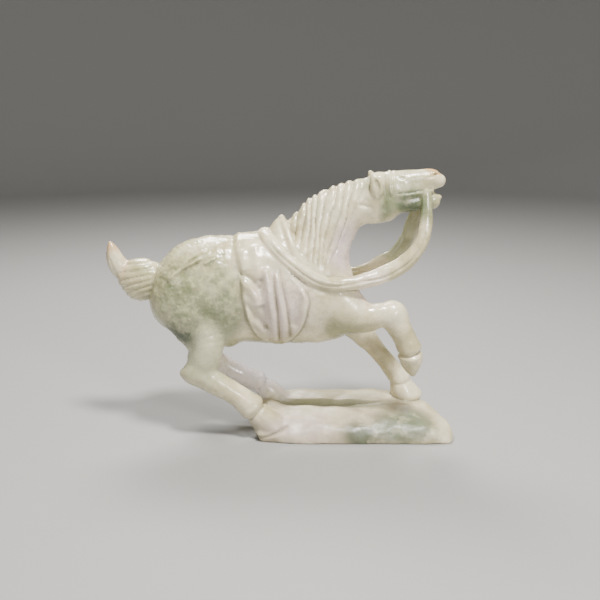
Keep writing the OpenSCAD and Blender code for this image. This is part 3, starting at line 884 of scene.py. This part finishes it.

# Coloured clouds in the stone, a few of them partly painted light or shade as marked: where (mm), how
# wide (mm, x y z), colour and strength
CLOUDS = [
    ("base", (36, -12, 5), (80, 36, 15), CLAY, 0.85),
    ("near hind leg", (-42, -14, 44), (20, 14, 20), SEA_GREEN, 0.7),
    ("shank", (-26, -16, 24), (14, 9, 12), PALE, 0.4),
    ("croup", (-46, -6, 78), (31, 34, 32), GREEN, 0.75),
    ("under the croup", (-51, -12, 62), (14, 20, 10), DEEP_GREEN, 0.95),
    # Partly the stone's greenish grey, partly painted shade on the shaded flank.
    ("flank", (-28, -16, 72), (9, 14, 30), GREEN, 0.65),
    # Partly the stone's lavender, partly a painted highlight on the lower neck.
    ("lower neck", (34, -8, 104), (12, 16, 17), LAVENDER, 0.85),
    ("cloth", (0, -22, 78), (20, 12, 28), LAVENDER, 0.6),
    # Shoulder, knee and top of the cloth: partly paler stone, partly painted highlights where the lamps
    # catch them.
    ("shoulder", (38, -18, 80), (12, 10, 12), PALE, 0.7),
    ("knee", (60, -13, 72), (12, 12, 9), PALE, 0.7),
    ("cloth, top", (-16, -14, 100), (14, 12, 16), PALE, 0.7),
    # Partly the leg's lavender-white tone, partly painted light that lifts the leg out of the body's
    # shadow.
    ("far hind leg", (-20, 13, 26), (38, 9.6, 24), FROST, 1.0),
    ("head", (62, -3, 137), (20, 12, 11), SEA_GREEN, 0.55),
    ("chest front", (47, -10, 84), (13, 14, 14), LAVENDER, 0.45),
    # Partly paler stone, partly a painted highlight on the muzzle.
    ("muzzle", (85, 0, 139), (10, 9, 8), PALE, 0.9),
    ("rein on the shoulder", (10, -20, 96), (18, 6, 14), PALE, 0.6),
    ("base, left end", (8, -16, 7), (24, 20, 9), LAVENDER, 0.4),
    ("jaw", (67, -4, 128), (15, 12, 9), GREEN, 1.0),
    ("jaw, middle", (69, -4, 127), (9, 10, 6), DEEP_GREEN, 0.7),
    ("cheek", (55, -7, 127), (5, 8, 14), GREEN, 0.8),
    ("poll", (43, -3, 138), (8, 9, 8), GREEN, 0.5),
    ("face", (66, 0, 141), (14, 7, 5), GREEN, 0.35),
    ("far rein", (64, 9, 108), (14, 9, 22), SEA_GREEN, 0.9),
    ("far rein, top", (70, 6, 120), (7, 8, 9), GREEN, 0.5),
    ("loop", (77, -6, 125), (7, 8, 12), GREEN, 0.6),
    ("base, middle", (44, -22, 4), (13, 12, 9), DEEP_GREEN, 0.85),
    ("base, right", (67, -18, 7), (24, 18, 12), MOSS, 0.9),
    ("base, far right", (88, -14, 5), (8, 20, 8), PALE, 0.4),
    ("base, back", (30, 20, 12), (40, 12, 10), PALE, 0.6),
    ("elbow", (34, -14, 60), (15, 10, 12), GREEN, 0.55),
    # Partly the stone's greenish grey, partly painted shade under the belly.
    ("belly", (-8, -8, 52), (30, 14, 6), GREEN, 0.5),
    ("far foreleg", (38, 13, 58), (13, 10, 16), GREEN, 0.5),
    ("far shoulder", (20, 18, 80), (22, 12, 20), GREEN, 0.6),
    # Partly paler stone, partly a painted highlight on the tail.
    ("tail", (-88, 0, 95), (9, 9, 13), PALE, 0.8),
    ("tail tip", (-92, 0, 105), (6, 8, 10), TAN, 0.75),
    ("tail root", (-85, 0, 92), (4.6, 9, 10), TAN, 0.5),
    ("nose", (80, 0, 144), (6, 8, 4), TAN, 0.75),
]


# How far the clouds' edges wander (mm), the middle of the speckled rump (mm), and how much light
# the stone lets in (0 to 1)
WARP = 11.0
RUMP_CENTRE = (-44, 0, 82)
SOFT = 0.2


def jade_colour(n, place, crease):
    """Cream and green clouds, rump specks, veins, painted shade in the creases and a painted highlight
    on edges.
    """
    waves = n.add("ShaderNodeTexNoise", Vector=place, Scale=0.07, Detail=3.0).outputs["Color"]
    shift = n.vector("SUBTRACT", n.vector("MULTIPLY", waves, (WARP,) * 3), (WARP / 2,) * 3)
    warped = n.vector("ADD", place, shift)
    split = n.add("ShaderNodeSeparateXYZ", Vector=place)
    x, y, z = (split.outputs[axis] for axis in "XYZ")

    colour = n.blend(n.spread(n.noise(warped, 0.045, 4.0, 0.55), 0.38, 0.62), CREAM, PALE)
    for _, centre, reach, tint, strength in CLOUDS:
        away = n.length(n.vector("DIVIDE", n.vector("SUBTRACT", warped, centre), reach))
        colour = n.blend(n.spread(away, 1.15, 0.35, 0.0, strength), colour, tint)

    from_rump = n.length(n.vector("SUBTRACT", warped, RUMP_CENTRE))
    rump = n.times(n.spread(from_rump, 44, 24), n.spread(z, 60, 72))
    mottle = n.spread(n.noise(warped, 0.10, 5.0, 0.6), 0.50, 0.64)
    colour = n.blend(n.times(mottle, 0.25), colour, PALE)
    specks = n.spread(n.noise(warped, 0.22, 5.0, 0.68), 0.44, 0.62)
    colour = n.blend(n.times(specks, rump, 0.7), colour, STRAW)
    shadows = n.spread(n.noise(warped, 0.13, 4.0, 0.66), 0.52, 0.34)
    shadow_strength = n.calc("ADD", n.times(rump, 0.45), 0.12)
    colour = n.blend(n.times(shadow_strength, shadows), colour, GREEN)
    from_vein = n.calc("ABSOLUTE", n.calc("SUBTRACT", n.noise(warped, 0.05, 7.0, 0.62), 0.5), 0.0)
    colour = n.blend(n.times(n.spread(from_vein, 0.012, 0.0), 0.25), colour, GREEN)

    # Painted shade: the groove along the base's top is coloured dark green where the hump behind it
    # shades it.
    across = n.calc("ADD", y, n.times(x, GROOVE_SLANT))
    in_groove = n.times(n.spread(across, -2.0, 3.0), n.spread(across, 9.0, 6.0))
    along_groove = n.times(n.spread(x, 70.0, 40.0), n.spread(x, -6.0, 4.0))
    groove = n.times(in_groove, along_groove, n.spread(z, 19.0, 16.0))
    colour = n.blend(n.times(groove, 0.7), colour, GREEN)

    # Painted shade: the surface is darkened in creases and grooves, where shade falls in them.
    colour = n.blend(n.times(n.spread(crease, 0.02, 0.30), 0.7), colour, CREASE_SHADE)
    # Painted highlight: sharp edges and ridges are made paler, as where light catches them.
    return n.blend(n.times(n.spread(crease, -0.20, -0.55), 0.25), colour, PALE)


def jade_roughness(n, place, crease):
    """Polished, but less so on the base and in the creases."""
    polished = n.spread(n.noise(place, 0.3, 5.0, 0.6), 0.3, 0.7, 0.17, 0.31)
    height = n.add("ShaderNodeSeparateXYZ", Vector=place).outputs["Z"]
    on_base = n.times(n.spread(height, 19.0, 16.0), 0.2)
    in_crease = n.times(n.spread(crease, 0.02, 0.30), 0.2)
    return n.calc("ADD", n.calc("ADD", polished, on_base), in_crease)


def jade_material():
    """Polished mottled stone that lets a little light in."""
    n = Nodes("jade")
    metres = n.add("ShaderNodeTexCoord").outputs["Object"]
    place = n.vector("DIVIDE", metres, (MM, MM, MM))
    crease = n.add("ShaderNodeAttribute", {"attribute_name": "crease"}).outputs["Fac"]
    shader = n.add("ShaderNodeBsdfPrincipled")
    n.set(shader, "Base Color", jade_colour(n, place, crease))
    n.set(shader, "Roughness", jade_roughness(n, place, crease))
    shader.inputs["IOR"].default_value = 1.66
    shader.inputs["Subsurface Weight"].default_value = SOFT
    shader.inputs["Subsurface Radius"].default_value = (1.0, 0.95, 0.7)
    shader.inputs["Subsurface Scale"].default_value = 0.0025
    broad = n.times(n.noise(place, 0.35, 3.0, 0.5), 0.25)
    fine = n.times(n.noise(place, 1.6, 3.0, 0.6), 0.05)
    bump = n.add("ShaderNodeBump", Height=n.calc("ADD", broad, fine), Strength=0.6, Distance=0.001)
    n.set(shader, "Normal", bump.outputs["Normal"])
    output = n.add("ShaderNodeOutputMaterial")
    n.set(output, "Surface", shader.outputs["BSDF"])
    return n.material


# ---------------------------------------------------------------- studio

FLOOR = (0.33, 0.33, 0.325, 1)
FLAT_RADIUS = 1.2
BEND_RADIUS = 0.5
WALL_TOP = 1.4


def make_floor():
    """A plain pale floor whose edge curves up into a wall all round."""
    profile = [(FLAT_RADIUS * i / 6, 0) for i in range(1, 7)]
    for angle in np.linspace(0.1, math.pi / 2, 14):
        radius = FLAT_RADIUS + BEND_RADIUS * math.sin(angle)
        profile.append((radius, BEND_RADIUS * (1 - math.cos(angle))))
    profile.append((FLAT_RADIUS + BEND_RADIUS, WALL_TOP))
    turns = 64
    points = [(0, 0, 0)]
    for radius, height in profile:
        for i in range(turns):
            angle = 2 * math.pi * i / turns
            points.append((radius * math.cos(angle), radius * math.sin(angle), height))
    faces = [(0, 1 + i, 1 + (i + 1) % turns) for i in range(turns)]
    for ring in range(len(profile) - 1):
        start = 1 + ring * turns
        for i in range(turns):
            j = (i + 1) % turns
            faces.append((start + i, start + turns + i, start + turns + j, start + j))
    mesh = bpy.data.meshes.new("floor")
    mesh.from_pydata(points, [], faces)
    mesh.polygons.foreach_set("use_smooth", [True] * len(faces))
    floor = bpy.data.objects.new("floor", mesh)
    bpy.context.scene.collection.objects.link(floor)
    n = Nodes("pale_floor")
    shader = n.add("ShaderNodeBsdfPrincipled")
    shader.inputs["Base Color"].default_value = FLOOR
    shader.inputs["Roughness"].default_value = 0.7
    output = n.add("ShaderNodeOutputMaterial")
    n.set(output, "Surface", shader.outputs["BSDF"])
    mesh.materials.append(n.material)


# Square lamps aimed at the middle of the figurine: place (m), width (m), power (W) and colour
MIDDLE = (0.01, 0, 0.08)
LAMPS = {
    "key": ((0.14, -0.24, 0.78), 0.12, 12, (1, 0.97, 0.91)),
    "top": ((-0.12, 0.40, 0.62), 0.24, 6.5, (1, 0.975, 0.93)),
    "fill": ((-0.5, -0.5, 0.3), 0.3, 0.8, (0.96, 0.97, 1)),
    "front": ((0.36, -0.56, 0.34), 0.12, 3.0, (1, 0.98, 0.96)),
}
SKY = (0.9, 0.9, 0.88, 1)
SKY_STRENGTH = 0.28


def make_lamp(name, place, width, power, colour):
    light = bpy.data.lights.new(name, "AREA")
    light.shape = "SQUARE"
    light.size = width
    light.energy = power
    light.color = colour
    lamp = bpy.data.objects.new(name, light)
    lamp.location = place
    lamp.rotation_euler = (Vector(MIDDLE) - Vector(place)).to_track_quat("-Z", "Y").to_euler()
    bpy.context.scene.collection.objects.link(lamp)


def make_studio():
    make_floor()
    for name, (place, width, power, colour) in LAMPS.items():
        make_lamp(name, place, width, power, colour)
    world = bpy.data.worlds.new("studio")
    world.use_nodes = True
    background = world.node_tree.nodes["Background"]
    background.inputs["Color"].default_value = SKY
    background.inputs["Strength"].default_value = SKY_STRENGTH
    bpy.context.scene.world = world


CAMERA_DISTANCE = 0.4
CAMERA_PITCH = math.radians(15)
LOOK_AT = (0.010, 0.0, 0.0744)
FOCAL_LENGTH = 43.8


def make_camera():
    camera = bpy.data.objects.new("camera", bpy.data.cameras.new("camera"))
    camera.data.lens = FOCAL_LENGTH
    camera.data.sensor_width = 36.0
    camera.data.clip_start = 0.01
    camera.location = (
        LOOK_AT[0],
        LOOK_AT[1] - CAMERA_DISTANCE * math.cos(CAMERA_PITCH),
        LOOK_AT[2] + CAMERA_DISTANCE * math.sin(CAMERA_PITCH),
    )
    direction = Vector(LOOK_AT) - camera.location
    camera.rotation_euler = direction.to_track_quat("-Z", "Y").to_euler()
    bpy.context.scene.collection.objects.link(camera)
    bpy.context.scene.camera = camera


def main():
    make_camera()
    stone = Stone()
    carve_trunk(stone)
    cloth = carve_cloth(stone)
    carve_withers(stone)
    carve_head(stone)
    carve_tail(stone)
    carve_legs(stone)
    carve_reins(stone)
    carve_base(stone)
    carve_creases(stone)
    wear(stone)
    name_trunk_parts(stone, cloth)
    make_pieces(stone, jade_material())
    make_studio()


main()
